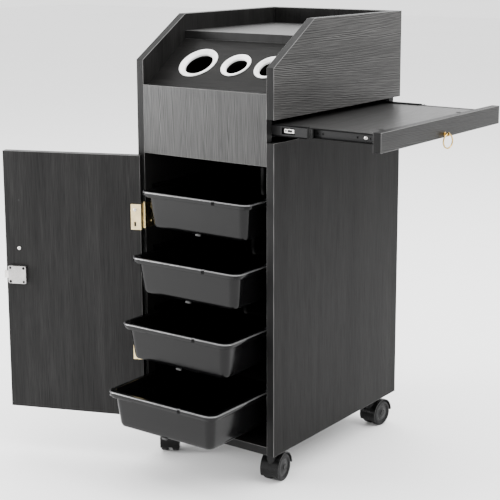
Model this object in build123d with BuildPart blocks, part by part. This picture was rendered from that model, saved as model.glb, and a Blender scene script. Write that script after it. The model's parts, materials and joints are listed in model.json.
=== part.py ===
"""Salon trolley on casters: cabinet, tray bay with four pull-out trays, hinged door,
holder panel with three sleeves, gallery shelf and a pull-out side shelf.

Millimetres. +Z is up, +X is the side of the pull-out shelf, -Y is the door side. The origin
is the point on the floor below the middle of the cabinet. The door stands open, the trays
are drawn out in a stagger and the side shelf is pulled out.
"""
from build123d import *
from math import cos, radians, sin, tan
import os

os.makedirs("parts", exist_ok=True)

# ---------------------------------------------------------------- driving dimensions
cabinet_width = 320.0
cabinet_depth = 453.0
cabinet_height = 809.5
board = 16.0                   # thickness of every board
base_height = 71.5             # underside of the cabinet above the floor

slant_rise = 81.5              # cut-off top front corner of the side boards: height
slant_run = 131.0              # and depth
shelf_gap = (593.0, 635.0)     # slot in the right side, above the cabinet's underside
front_panel_span = (549.5, 681.0)
holder_slope = 35.0            # degrees from level
gallery_height = 33.0          # boards standing above the top shelf

tray_width = 256.0
tray_depth = 390.0
tray_height = 72.5
tray_rim_radius = 18.0
tray_body_radius = 17.0
tray_bottom_radius = 13.0
tray_rim_overhang = 9.0
tray_taper = 8.0
tray_wall = 2.2
tray_lip = 9.0
tray_pitch = 122.6
lowest_tray_rim = 114.4        # top of the lowest rim above the cabinet's underside
tray_drawn_out = (37.5, 69.5, 99.8, 144.6)    # front rims ahead of the cabinet, top first
tray_setback = 19.5            # front rim behind the cabinet's front when pushed in

door_open = 158.0              # degrees from closed
door_gap = 2.4                 # between the hinge side board and the door
door_width = 283.6
door_span = (22.0, 547.0)
hinge_height = 50.0
hinge_middles = (166.0, 427.0)
hinge_inboard = 0.7            # hinge line inboard of the side board's inner face
hinge_ahead = 3.3              # and ahead of the cabinet's front

shelf_out = 220.0              # side shelf's travel at rest
shelf_length = 270.0
shelf_level = 615.0            # middle of the slides and of the shelf board
fascia_span = (595.5, 630.5)
fascia_length = 456.5
slide_width = 13.0

wheel_radius = 27.0
caster_trail = 17.0
caster_inset_x = 33.5
caster_inset_y = 42.7
caster_headings = {           # degrees the wheels trail away from +Y, name: heading
    "front_left": 35.0, "front_right": 7.5, "rear_left": -6.0, "rear_right": -5.7}

clearance = 0.3                # between pieces that pass each other
running = 0.05                 # radial clearance of pins and axles

# ---------------------------------------------------------------- places worked out from them
right_out = cabinet_width / 2
right_in = right_out - board
inner_width = 2 * right_in
front = -cabinet_depth / 2
back = cabinet_depth / 2
front_in = front + board
back_in = back - board
top = base_height + cabinet_height
bottom_top = base_height + board
front_panel_low, front_panel_high = (base_height + z for z in front_panel_span)
gap_low, gap_high = (base_height + z for z in shelf_gap)
top_shelf_top = top - gallery_height
top_shelf_low = top_shelf_top - board
deck_top = front_panel_low + board
holder_floor_top = gap_high + board
slope_run = (top_shelf_low - front_panel_high) / tan(radians(holder_slope))
top_shelf_front = front_in + slope_run


def block(low, high, mode=Mode.ADD):
    """A box between two opposite corners, for use inside a part block."""
    size = [b - a for a, b in zip(low, high)]
    with Locations(tuple((a + b) / 2 for a, b in zip(low, high))):
        Box(*size, mode=mode)


# ---------------------------------------------------------------- joinery shared by the boards
dowel_radius = 4.0
dowel_length = 30.0
dowel_in_side = 10.0
dowel_from_end = 50.0
cam_radius = 7.5
cam_depth = 12.5
cam_from_end = 24.0
cam_bolt_radius = 3.0
cam_bolt_length = 32.0
cam_bolt_in_board = 6.0        # middle of the bolt inside the side board's inner face

level_boards = {               # top of each level board: (front end, back end)
    bottom_top: (front, back_in),
    deck_top: (front_in, back_in),
    holder_floor_top: (front_in, back_in),
    top_shelf_top: (top_shelf_front, back_in),
}
upright_levels = (base_height + 140, base_height + 420, base_height + 572, base_height + 655)

dowel_x = right_in + dowel_in_side - dowel_length / 2
dowel_seats = []
cam_seats = []
for board_top, (board_front, board_back) in level_boards.items():
    board_middle = (board_front + board_back) / 2
    for side in (-1, 1):
        for y in (board_front + dowel_from_end, board_back - dowel_from_end):
            dowel_seats.append((side * dowel_x, y, board_top - board / 2))
        cam_seats.append((side, board_middle, board_top))
for z in upright_levels:
    for side in (-1, 1):
        dowel_seats.append((side * dowel_x, back_in + board / 2, z))
        if z > front_panel_low:
            dowel_seats.append((side * dowel_x, front + board / 2, z))


def bore_joinery():
    """Take the dowel, cam and cam bolt holes out of the board being made."""
    with Locations(*dowel_seats):
        Cylinder(dowel_radius + running, dowel_length + 1, rotation=(0, 90, 0), mode=Mode.SUBTRACT)
    for side, y, board_top in cam_seats:
        cam_x = side * (right_in - cam_from_end)
        with Locations((cam_x, y, board_top - board - 0.5)):
            Cylinder(cam_radius + running, cam_depth + 1, mode=Mode.SUBTRACT,
                     align=(Align.CENTER, Align.CENTER, Align.MIN))
        with Locations((side * (right_in - cam_bolt_in_board), y, board_top - board / 2)):
            Cylinder(cam_bolt_radius + running, cam_bolt_length + 2, rotation=(0, 90, 0),
                     mode=Mode.SUBTRACT)


# ---------------------------------------------------------------- side boards
hinge_x = -right_in + hinge_inboard
hinge_y = front - hinge_ahead
door_low, door_high = (base_height + z for z in door_span)
hinge_levels = [base_height + z for z in hinge_middles]
side_outline = [(front, base_height), (back, base_height), (back, top),
                (front + slant_run, top), (front, top - slant_rise)]

with BuildPart() as left_side_panel:
    with BuildSketch(Plane.YZ.offset(-right_out)):
        with BuildLine():
            Polyline(*side_outline, close=True)
        make_face()
    extrude(amount=board)
    bore_joinery()
left_side_panel.part.label = "left_side_panel"
export_step(left_side_panel.part, "parts/left_side_panel.step")

with BuildPart() as right_side_panel_upper:
    with BuildSketch(Plane.YZ.offset(right_in)):
        with BuildLine():
            Polyline((front, gap_high), (back, gap_high), *side_outline[2:], close=True)
        make_face()
    extrude(amount=board)
    bore_joinery()
right_side_panel_upper.part.label = "right_side_panel_upper"
export_step(right_side_panel_upper.part, "parts/right_side_panel_upper.step")

lock_level = base_height + 299.0
bolt_depths = (20.7, 26.7)     # bolt behind the hinge line, with the door closed
strike_depth = 9.0
strike_half_height = 10.0

with BuildPart() as right_side_panel_lower:
    block((right_in, front, base_height), (right_out, back, gap_low))
    block((right_in - 1, hinge_y + bolt_depths[0] - 2, lock_level - strike_half_height),
          (right_in + strike_depth, hinge_y + bolt_depths[1] + 2, lock_level + strike_half_height),
          Mode.SUBTRACT)
    bore_joinery()
right_side_panel_lower.part.label = "right_side_panel_lower"
export_step(right_side_panel_lower.part, "parts/right_side_panel_lower.step")

# ---------------------------------------------------------------- level and upright boards
with BuildPart() as bottom_panel:
    block((-right_in, front, base_height), (right_in, back_in, bottom_top))
    bore_joinery()
bottom_panel.part.label = "bottom_panel"
export_step(bottom_panel.part, "parts/bottom_panel.step")

with BuildPart() as back_panel:
    block((-right_in, back_in, base_height), (right_in, back, top))
    bore_joinery()
back_panel.part.label = "back_panel"
export_step(back_panel.part, "parts/back_panel.step")

with BuildPart() as front_panel:
    block((-right_in, front, front_panel_low), (right_in, front_in, front_panel_high))
    bore_joinery()
front_panel.part.label = "front_panel"
export_step(front_panel.part, "parts/front_panel.step")

with BuildPart() as tray_bay_deck:
    block((-right_in, front_in, front_panel_low), (right_in, back_in, deck_top))
    bore_joinery()
tray_bay_deck.part.label = "tray_bay_deck"
export_step(tray_bay_deck.part, "parts/tray_bay_deck.step")

with BuildPart() as holder_bay_floor:
    block((-right_in, front_in, gap_high), (right_in, back_in, holder_floor_top))
    bore_joinery()
holder_bay_floor.part.label = "holder_bay_floor"
export_step(holder_bay_floor.part, "parts/holder_bay_floor.step")

with BuildPart() as top_shelf:
    block((-right_in, top_shelf_front, top_shelf_low), (right_in, back_in, top_shelf_top))
    bore_joinery()
top_shelf.part.label = "top_shelf"
export_step(top_shelf.part, "parts/top_shelf.step")

# ---------------------------------------------------------------- holder panel and its sleeves
slope = radians(holder_slope)
slope_normal = (0, -sin(slope), cos(slope))
holders = {                    # name: (x, distance up the slope, bore radius, flange radius)
    "large": (-66.0, 68.5, 28.5, 40.0),
    "middle": (23.3, 68.5, 21.5, 30.7),
    "right": (100.0, 68.5, 21.5, 30.7),
}
mouth_depth = 3.0
sleeve_depth = 6.0
lip_height = 2.6
mouth_inset = 2.6              # mouth inside the flange's rim
mouth_thick = 1.6
hole_inset = 2.4               # hole in the panel inside the flange's rim
sleeve_wall = 2.0


def on_slope(x, distance):
    """The point this far up the sloping face from its front edge."""
    return (x, front_in + distance * cos(slope), front_panel_high + distance * sin(slope))


with BuildPart() as holder_panel:
    with BuildSketch(Plane.YZ.offset(-right_in)):
        with BuildLine():
            Polyline((front_in, front_panel_high), (top_shelf_front, top_shelf_low),
                     (top_shelf_front + board / sin(slope), top_shelf_low),
                     (front_in, front_panel_high - board / cos(slope)), close=True)
        make_face()
    extrude(amount=inner_width)
    for x, distance, bore_radius, flange_radius in holders.values():
        hole = Plane(origin=on_slope(x, distance), x_dir=(1, 0, 0), z_dir=slope_normal)
        with BuildSketch(hole):
            Circle(flange_radius - hole_inset)
        extrude(amount=30, both=True, mode=Mode.SUBTRACT)
holder_panel.part.label = "holder_panel"
export_step(holder_panel.part, "parts/holder_panel.step")

for name, (x, distance, bore_radius, flange_radius) in holders.items():
    centre = on_slope(x, distance)
    section = Plane(origin=centre, x_dir=(1, 0, 0), z_dir=(0, -cos(slope), -sin(slope)))
    mouth_radius = flange_radius - mouth_inset
    with BuildPart() as sleeve:
        with BuildSketch(section):
            with BuildLine():
                Polyline((mouth_radius, lip_height), (bore_radius, -mouth_depth),
                         (bore_radius, -sleeve_depth), (bore_radius + sleeve_wall, -sleeve_depth),
                         (bore_radius + sleeve_wall, -mouth_depth - mouth_thick),
                         (mouth_radius, -mouth_thick),
                         (mouth_radius, 0), (flange_radius, 0), (flange_radius, 1),
                         (flange_radius - 1, lip_height), close=True)
            make_face()
        revolve(axis=Axis(centre, slope_normal))
    sleeve.part.label = f"holder_sleeve_{name}"
    export_step(sleeve.part, f"parts/holder_sleeve_{name}.step")

# ---------------------------------------------------------------- dowels and cam fittings
with BuildPart() as panel_dowels:
    with Locations(*dowel_seats):
        Cylinder(dowel_radius, dowel_length, rotation=(0, 90, 0))
panel_dowels.part.label = "panel_dowels"
export_step(panel_dowels.part, "parts/panel_dowels.step")

with BuildPart() as cam_fittings:
    for side, y, board_top in cam_seats:
        cam_x = side * (right_in - cam_from_end)
        with Locations((cam_x, y, board_top - board)):
            Cylinder(cam_radius, cam_depth - 1, align=(Align.CENTER, Align.CENTER, Align.MIN))
        with Locations((side * (right_in - cam_bolt_in_board), y, board_top - board / 2)):
            Cylinder(cam_bolt_radius, cam_bolt_length, rotation=(0, 90, 0))
cam_fittings.part.label = "cam_fittings"
export_step(cam_fittings.part, "parts/cam_fittings.step")

# ---------------------------------------------------------------- trays and their runners
tray_rims = [base_height + lowest_tray_rim + tray_pitch * step for step in (3, 2, 1, 0)]
runner_front = front + tray_setback + 1
runner_length = 405.0
runner_gauge = 2.5
runner_lip_gap = 1.0
step_x = -61.0                 # the front rim is deeper on the left of this line
notch_x = 50.0
step_drop = 1.5
notch_radius = 3.5
foot_width = 11.0
foot_depth = 5.0
foot_drop = 3.0


def tray_outline(inset, radius, middle_y, level):
    """A rounded rectangle, this far inside the tray's rim, as a face on its own level."""
    with BuildSketch(Plane((0, middle_y, level))) as outline:
        RectangleRounded(tray_width - 2 * inset, tray_depth - 2 * inset, radius)
    return outline.sketch.faces()[0]


for number, (rim, drawn_out) in enumerate(zip(tray_rims, tray_drawn_out), start=1):
    tray_front = front - drawn_out
    middle_y = tray_front + tray_depth / 2
    floor_level = rim - tray_height
    bottom_inset = tray_rim_overhang + tray_taper
    with BuildPart() as tray:
        extrude(tray_outline(0, tray_rim_radius, middle_y, rim - tray_lip), amount=tray_lip)
        extrude(tray_outline(tray_wall, tray_rim_radius - tray_wall, middle_y, rim - tray_lip),
                amount=tray_lip - tray_wall, mode=Mode.SUBTRACT)
        loft([tray_outline(bottom_inset, tray_bottom_radius, middle_y, floor_level),
              tray_outline(tray_rim_overhang, tray_body_radius, middle_y, rim)])
        loft([tray_outline(bottom_inset + tray_wall, tray_bottom_radius - tray_wall, middle_y,
                           floor_level + tray_wall),
              tray_outline(tray_rim_overhang + tray_wall, tray_body_radius - tray_wall, middle_y,
                           rim + 0.5)],
             mode=Mode.SUBTRACT)
        block((-tray_width / 2 + tray_rim_radius, tray_front, rim - tray_lip - step_drop),
              (step_x, tray_front + tray_wall, rim - tray_lip))
        block((-foot_width / 2, tray_front + bottom_inset, floor_level - foot_drop),
              (foot_width / 2, tray_front + bottom_inset + foot_depth, floor_level))
        with Locations((notch_x, tray_front, rim)):
            Cylinder(notch_radius, 10, mode=Mode.SUBTRACT)
    tray.part.label = f"tray_{number}"
    export_step(tray.part, f"parts/tray_{number}.step")

runner_ledge = tray_width / 2 - 7
runner_hook = tray_width / 2 - 4
for side, side_name in ((-1, "left"), (1, "right")):
    with BuildPart() as runners:
        for rim in tray_rims:
            low = rim - tray_lip - 2 * clearance
            high = rim + runner_lip_gap
            with BuildSketch(Plane((0, runner_front, 0), x_dir=(1, 0, 0), z_dir=(0, 1, 0))):
                with BuildLine():
                    Polyline(*[(side * x, -z) for x, z in (
                        (right_in, low - runner_gauge), (runner_ledge, low - runner_gauge),
                        (runner_ledge, low), (right_in - runner_gauge, low),
                        (right_in - runner_gauge, high), (runner_hook, high),
                        (runner_hook, high + runner_gauge), (right_in, high + runner_gauge))],
                        close=True)
                make_face()
            extrude(amount=runner_length)
    runners.part.label = f"tray_runners_{side_name}"
    export_step(runners.part, f"parts/tray_runners_{side_name}.step")

# ---------------------------------------------------------------- door, in its own turned frame
door_turn = radians(door_open)
door_frame = Plane(origin=(hinge_x, hinge_y, 0), x_dir=(cos(door_turn), -sin(door_turn), 0),
                   z_dir=(0, 0, 1))
door_edge = -right_in + door_gap - hinge_x     # hinge edge, along the door from the hinge line
door_outer = front - hinge_y                   # outer face, behind the hinge line when closed
door_inner = door_outer + board
lock_along = door_edge + 258.0
pull_along = door_edge + 254.7
pull_level = base_height + 352.0
lock_width, lock_height, lock_thick = 38.0, 36.0, 9.0
barrel_radius = 9.5
plug_radius = 6.0
bolt_height = 15.0
bolt_out = 1.7                                 # bolt past the door's free edge
free_edge = door_edge + door_width
pull_screw_radius = 2.0
blind_hole = (door_edge + 252.8, base_height + 449.0)    # along the door, level
blind_hole_depth = 9.0


def in_door(along, across, level):
    """A point given along the door, across its thickness and in height, as a position."""
    return door_frame.from_local_coords((along, across, level))


def across_door(along, across, level):
    """A plane whose normal points from the outer to the inner face of the door."""
    return Plane(origin=in_door(along, across, level), x_dir=door_frame.x_dir,
                 z_dir=door_frame.y_dir)


def door_block(low, high, mode=Mode.ADD):
    """A box between two corners given in the door's frame."""
    size = [b - a for a, b in zip(low, high)]
    middle = Plane(origin=in_door(*[(a + b) / 2 for a, b in zip(low, high)]),
                   x_dir=door_frame.x_dir, z_dir=(0, 0, 1))
    with Locations(middle):
        Box(*size, mode=mode)


def door_rod(radius, along, level, start, end, mode=Mode.ADD):
    """A round rod across the door, from one depth to another."""
    with Locations(across_door(along, start, level)):
        Cylinder(radius, end - start, align=(Align.CENTER, Align.CENTER, Align.MIN), mode=mode)


with BuildPart() as door_panel:
    door_block((door_edge, door_outer, door_low), (free_edge, door_inner, door_high))
    door_rod(barrel_radius + clearance, lock_along, lock_level, door_outer - 1, door_inner + 1,
             Mode.SUBTRACT)
    door_rod(pull_screw_radius + 0.2, pull_along, pull_level, door_outer - 1, door_inner + 1,
             Mode.SUBTRACT)
    door_rod(2.0, *blind_hole, door_inner - blind_hole_depth, door_inner + 1, Mode.SUBTRACT)
door_panel.part.label = "door_panel"
export_step(door_panel.part, "parts/door_panel.step")

# ---------------------------------------------------------------- hinges
knuckle_radius = 3.0
pin_radius = 1.5
leaf_gauge = 1.0
middle_knuckle = 26.0
leaf_on_door = 19.5
leaf_on_side = 28.0
knuckle_reach = knuckle_radius + 0.4
leaf_holes = (14.0, -14.0)     # above and below the hinge's middle
leaf_hole_radius = 2.2
leaf_screw_radius = 1.8
leaf_head_radius = 3.4
door_leaf_holes = door_edge + 11.0
side_leaf_holes = front + 18.0


def knuckle(low, high):
    """One knuckle of a hinge barrel between two heights."""
    with Locations((hinge_x, hinge_y, low)):
        Cylinder(knuckle_radius, high - low, align=(Align.CENTER, Align.CENTER, Align.MIN))


def pin_bore(level):
    """Take the pin's running hole out of the leaf being made."""
    with Locations((hinge_x, hinge_y, level)):
        Cylinder(pin_radius + running, hinge_height + 4, mode=Mode.SUBTRACT)


with BuildPart() as cabinet_hinge_leaves:
    for level in hinge_levels:
        low, high = level - hinge_height / 2, level + hinge_height / 2
        mid_low, mid_high = level - middle_knuckle / 2, level + middle_knuckle / 2
        block((-right_in, hinge_y + knuckle_reach, low),
              (-right_in + leaf_gauge, front + leaf_on_side, high))
        for end_low, end_high in ((low, mid_low - clearance), (mid_high + clearance, high)):
            knuckle(end_low, end_high)
            block((-right_in, hinge_y + 2.2, end_low), (-right_in + leaf_gauge, front + 5, end_high))
        pin_bore(level)
        for offset in leaf_holes:
            with Locations((-right_in, side_leaf_holes, level + offset)):
                Cylinder(leaf_hole_radius, 6, rotation=(0, 90, 0), mode=Mode.SUBTRACT)
cabinet_hinge_leaves.part.label = "cabinet_hinge_leaves"
export_step(cabinet_hinge_leaves.part, "parts/cabinet_hinge_leaves.step")

with BuildPart() as door_hinge_leaves:
    for level in hinge_levels:
        low, high = level - hinge_height / 2, level + hinge_height / 2
        mid_low, mid_high = level - middle_knuckle / 2, level + middle_knuckle / 2
        knuckle(mid_low, mid_high)
        door_block((door_edge - leaf_gauge, 2.2, mid_low), (door_edge, door_inner, mid_high))
        door_block((door_edge - leaf_gauge, knuckle_reach, low), (door_edge, door_inner, high))
        door_block((door_edge - leaf_gauge, door_inner, low),
                   (door_edge + leaf_on_door, door_inner + 1.2, high))
        pin_bore(level)
        door_rod(leaf_hole_radius, door_leaf_holes, level + leaf_holes[0], door_inner - 1,
                 door_inner + 4, Mode.SUBTRACT)
        for slot_step in (-2.5, 0, 2.5):
            door_rod(leaf_hole_radius, door_leaf_holes, level + leaf_holes[1] + slot_step,
                     door_inner - 1, door_inner + 4, Mode.SUBTRACT)
door_hinge_leaves.part.label = "door_hinge_leaves"
export_step(door_hinge_leaves.part, "parts/door_hinge_leaves.step")

with BuildPart() as hinge_pins:
    for level in hinge_levels:
        with Locations((hinge_x, hinge_y, level)):
            Cylinder(pin_radius, hinge_height + 1)
        with Locations((hinge_x, hinge_y, level + hinge_height / 2 + 0.9)):
            Cylinder(2.3, 1.4)
hinge_pins.part.label = "hinge_pins"
export_step(hinge_pins.part, "parts/hinge_pins.step")

# ---------------------------------------------------------------- lock
case_to = lock_along + lock_width / 2
case_back = door_inner + lock_thick
lock_corner = 14.0             # screw holes from the middle of the case
lock_hole_radius = 1.8
lock_screw_radius = 1.6
lock_head_radius = 2.8

with BuildPart() as lock_case:
    with BuildSketch(across_door(lock_along, door_inner, lock_level)):
        RectangleRounded(lock_width, lock_height, 4)
    extrude(amount=lock_thick)
    fillet(lock_case.faces().filter_by(lambda face: face.center().Y < lock_case.part.center().Y)
           .sort_by(Axis.Y)[0].edges(), 1.0)
    door_rod(barrel_radius, lock_along, lock_level, door_outer, door_inner)
    door_rod(barrel_radius + 2.2, lock_along, lock_level, door_outer - 1.4, door_outer)
    door_rod(plug_radius + running, lock_along, lock_level, door_outer - 2, bolt_depths[0] + 1,
             Mode.SUBTRACT)
    door_block((lock_along - 14, bolt_depths[0] - clearance, lock_level - bolt_height / 2 - clearance),
               (case_to + 1, bolt_depths[1] + clearance, lock_level + bolt_height / 2 + clearance),
               Mode.SUBTRACT)
    for across, up in ((-lock_corner, lock_corner), (lock_corner, lock_corner),
                       (-lock_corner, -lock_corner), (lock_corner, -lock_corner)):
        door_rod(lock_hole_radius, lock_along + across, lock_level + up, door_inner - 1, case_back + 1,
                 Mode.SUBTRACT)
lock_case.part.label = "lock_case"
export_step(lock_case.part, "parts/lock_case.step")

with BuildPart() as lock_bolt:
    door_block((lock_along - 6, bolt_depths[0], lock_level - bolt_height / 2),
               (free_edge + bolt_out, bolt_depths[1], lock_level + bolt_height / 2))
lock_bolt.part.label = "lock_bolt"
export_step(lock_bolt.part, "parts/lock_bolt.step")

with BuildPart() as lock_plug:
    door_rod(plug_radius, lock_along, lock_level, door_outer - 2.4, bolt_depths[0] - clearance)
    door_block((lock_along - 0.8, door_outer - 3, lock_level - 4),
               (lock_along + 0.8, door_outer + 2, lock_level + 4), Mode.SUBTRACT)
lock_plug.part.label = "lock_plug"
export_step(lock_plug.part, "parts/lock_plug.step")

with BuildPart() as door_screws:
    for along, up in ((-lock_corner, lock_corner), (lock_corner, -lock_corner)):
        door_rod(lock_screw_radius, lock_along + along, lock_level + up, door_inner - 9,
                 case_back + 0.2)
        door_rod(lock_head_radius, lock_along + along, lock_level + up, case_back + 0.05,
                 case_back + 1.3)
    for level in hinge_levels:
        door_rod(leaf_screw_radius, door_leaf_holes, level + leaf_holes[0], door_inner - 11,
                 door_inner + 1.3)
        door_rod(leaf_head_radius, door_leaf_holes, level + leaf_holes[0], door_inner + 1.25,
                 door_inner + 2.4)
    door_rod(pull_screw_radius, pull_along, pull_level, door_outer + 0.2, door_inner + 0.5)
    door_rod(4.0, pull_along, pull_level, door_inner, door_inner + 2.6)
door_screws.part.label = "door_screws"
export_step(door_screws.part, "parts/door_screws.step")

# ---------------------------------------------------------------- ring pulls
pull_base_radius = 4.0
pull_height = 6.5              # side shelf's pull above the fascia's lower edge
eye_reach = 7.5                # eye's middle in front of the face
eye_radius = 3.7
eye_bore = 1.8
eye_width = 3.0
ring_radius = 12.9
ring_wire = 1.1


def pull_post(mount):
    """Base, stem and eye of a ring pull, standing on a plane whose x runs along the eye."""
    with Locations(mount):
        Cylinder(pull_base_radius, 1.5, align=(Align.CENTER, Align.CENTER, Align.MIN))
        Cylinder(2.2, eye_reach - 2, align=(Align.CENTER, Align.CENTER, Align.MIN))
    with Locations(mount.offset(eye_reach)):
        Cylinder(eye_radius, eye_width, rotation=(0, 90, 0))
        Cylinder(eye_bore, eye_width + 2, rotation=(0, 90, 0), mode=Mode.SUBTRACT)


def pull_ring(mount, twist):
    """The ring hanging from the eye, turned a little about the vertical."""
    face = mount.z_dir
    along = mount.x_dir
    normal = face * cos(radians(twist)) + along * sin(radians(twist))
    centre = mount.origin + face * eye_reach - Vector(0, 0, ring_radius)
    with Locations(Plane(origin=centre, x_dir=(0, 0, 1), z_dir=normal)):
        Torus(ring_radius, ring_wire)


door_pull_mount = Plane(origin=in_door(pull_along, door_outer, pull_level),
                        x_dir=door_frame.x_dir, z_dir=-door_frame.y_dir)

with BuildPart() as door_pull_post:
    pull_post(door_pull_mount)
door_pull_post.part.label = "door_pull_post"
export_step(door_pull_post.part, "parts/door_pull_post.step")

with BuildPart() as door_pull_ring:
    pull_ring(door_pull_mount, 0)
door_pull_ring.part.label = "door_pull_ring"
export_step(door_pull_ring.part, "parts/door_pull_ring.step")

# ---------------------------------------------------------------- side shelf
slide_level = base_height + shelf_level
fascia_low, fascia_high = (base_height + z for z in fascia_span)
fascia_in = right_in + shelf_out
shelf_front = front_in + slide_width
shelf_back = back_in - slide_width
fascia_front = front + 0.5
fascia_back = fascia_front + fascia_length
shelf_cam_x = fascia_in - 30.0
shelf_cam_ys = (-146.0, 146.0)
shelf_cam_radius = 6.0

with BuildPart() as side_shelf_board:
    block((fascia_in - shelf_length, shelf_front, slide_level - board / 2),
          (fascia_in, shelf_back, slide_level + board / 2))
    with Locations(*[(shelf_cam_x, y, slide_level + board / 2) for y in shelf_cam_ys]):
        Cylinder(shelf_cam_radius + running, 22, mode=Mode.SUBTRACT)
side_shelf_board.part.label = "side_shelf_board"
export_step(side_shelf_board.part, "parts/side_shelf_board.step")

with BuildPart() as side_shelf_cams:
    with Locations(*[(shelf_cam_x, y, slide_level + board / 2) for y in shelf_cam_ys]):
        Cylinder(shelf_cam_radius, 10.5, align=(Align.CENTER, Align.CENTER, Align.MAX))
side_shelf_cams.part.label = "side_shelf_cams"
export_step(side_shelf_cams.part, "parts/side_shelf_cams.step")

with BuildPart() as side_shelf_fascia:
    block((fascia_in, fascia_front, fascia_low), (fascia_in + board, fascia_back, fascia_high))
side_shelf_fascia.part.label = "side_shelf_fascia"
export_step(side_shelf_fascia.part, "parts/side_shelf_fascia.step")

shelf_pull_mount = Plane(origin=(fascia_in + board, (fascia_front + fascia_back) / 2,
                                 fascia_low + pull_height),
                         x_dir=(0, 1, 0), z_dir=(1, 0, 0))

with BuildPart() as shelf_pull_post:
    pull_post(shelf_pull_mount)
shelf_pull_post.part.label = "shelf_pull_post"
export_step(shelf_pull_post.part, "parts/shelf_pull_post.step")

with BuildPart() as shelf_pull_ring:
    pull_ring(shelf_pull_mount, -12)
shelf_pull_ring.part.label = "shelf_pull_ring"
export_step(shelf_pull_ring.part, "parts/shelf_pull_ring.step")

# ---------------------------------------------------------------- telescopic slides
steel = 1.2
slide_hole_radius = 2.05
outer_half, middle_half, inner_half = 13.5, 10.6, 8.5
outer_span = (-right_in + 34, right_in - 1)
middle_span = (4.0, 232.0)
inner_span = (fascia_in - 252, fascia_in - 0.5)
lever_span = (168.0, 190.0)
lever_depths = (5.4, 7.0)
lever_pin_x = lever_span[0] + 3.5
lever_pin_radius = 1.5
lever_pin_depth = 8.5          # middle of the pin from the wall
lever_height = 7.0
inner_screws = (150.0, 334.0)
inner_holes = (236.0, 247.0, 318.0, 344.0)
outer_screws = (-80.0, 60.0)


def channel(wall_y, toward, web, lip, half_height, gauge, x_low, x_high):
    """A C section along X; web and lip are distances from the wall that the slide is on."""
    inner_face = web + gauge if lip > web else web - gauge
    points = ((web, -half_height), (lip, -half_height), (lip, gauge - half_height),
              (inner_face, gauge - half_height), (inner_face, half_height - gauge),
              (lip, half_height - gauge), (lip, half_height), (web, half_height))
    with BuildSketch(Plane.YZ.offset(x_low)) as section:
        with BuildLine():
            Polyline(*[(wall_y + toward * depth, slide_level + height) for depth, height in points],
                     close=True)
        make_face()
    extrude(section.sketch, amount=x_high - x_low)


for end_name, wall_y, toward in (("front", front_in, 1), ("rear", back_in, -1)):
    with BuildPart() as slide_outer:
        channel(wall_y, toward, 0, 11.0, outer_half, steel, *outer_span)
        with Locations(*[(x, wall_y, slide_level) for x in outer_screws]):
            Cylinder(slide_hole_radius, 4, rotation=(90, 0, 0), mode=Mode.SUBTRACT)
    slide_outer.part.label = f"slide_outer_{end_name}"
    export_step(slide_outer.part, f"parts/slide_outer_{end_name}.step")

    with BuildPart() as slide_middle:
        channel(wall_y, toward, 1.9, 10.5, middle_half, steel, *middle_span)
        with Locations((sum(lever_span) / 2, wall_y + toward * 2.5, slide_level)):
            Box(lever_span[1] - lever_span[0] + 6, 6, 12, mode=Mode.SUBTRACT)
    slide_middle.part.label = f"slide_middle_{end_name}"
    export_step(slide_middle.part, f"parts/slide_middle_{end_name}.step")

    with BuildPart() as slide_inner:
        channel(wall_y, toward, slide_width, 4.3, inner_half, steel, *inner_span)
        with Locations((lever_pin_x, wall_y + toward * lever_pin_depth, slide_level)):
            Cylinder(lever_pin_radius, 2 * (slide_width - steel - lever_pin_depth) + 0.2,
                     rotation=(90, 0, 0))
        with Locations(*[(x, wall_y + toward * slide_width, slide_level)
                         for x in inner_holes + inner_screws]):
            Cylinder(slide_hole_radius, 6, rotation=(90, 0, 0), mode=Mode.SUBTRACT)
    slide_inner.part.label = f"slide_inner_{end_name}"
    export_step(slide_inner.part, f"parts/slide_inner_{end_name}.step")
    lever_middle = (lever_depths[0] + lever_depths[1]) / 2
    with BuildPart() as release_lever:
        with Locations((sum(lever_span) / 2, wall_y + toward * lever_middle, slide_level)):
            Box(lever_span[1] - lever_span[0], lever_depths[1] - lever_depths[0], lever_height)
        with Locations((lever_span[1] - 2, wall_y + toward * (lever_middle - 0.8), slide_level)):
            Box(4, 2.4, lever_height)
        with Locations((lever_pin_x, wall_y + toward * lever_middle, slide_level)):
            Cylinder(lever_pin_radius + running, 6, rotation=(90, 0, 0), mode=Mode.SUBTRACT)
    release_lever.part.label = f"release_lever_{end_name}"
    export_step(release_lever.part, f"parts/release_lever_{end_name}.step")

with BuildPart() as cabinet_screws:
    for wall_y, toward in ((front_in, 1), (back_in, -1)):
        with Locations(*[(x, wall_y - toward * 4.4, slide_level) for x in outer_screws]):
            Cylinder(2.0, 11, rotation=(90, 0, 0))
    for level in hinge_levels:
        for offset in leaf_holes:
            with Locations((-right_in - 4.5, side_leaf_holes, level + offset)):
                Cylinder(2.0, 12, rotation=(0, 90, 0))
            with Locations((-right_in + leaf_gauge + 0.6, side_leaf_holes, level + offset)):
                Cylinder(leaf_head_radius, 1.1, rotation=(0, 90, 0))
cabinet_screws.part.label = "cabinet_screws"
export_step(cabinet_screws.part, "parts/cabinet_screws.step")

with BuildPart() as side_shelf_screws:
    for wall_y, toward in ((front_in, 1), (back_in, -1)):
        web_y = wall_y + toward * (slide_width - steel)
        with Locations(*[(x, web_y + toward * 6, slide_level) for x in inner_screws]):
            Cylinder(2.0, 13, rotation=(90, 0, 0))
        with Locations(*[(x, web_y - toward * 0.6, slide_level) for x in inner_screws]):
            Cylinder(3.6, 1.1, rotation=(90, 0, 0))
side_shelf_screws.part.label = "side_shelf_screws"
export_step(side_shelf_screws.part, "parts/side_shelf_screws.step")

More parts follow.
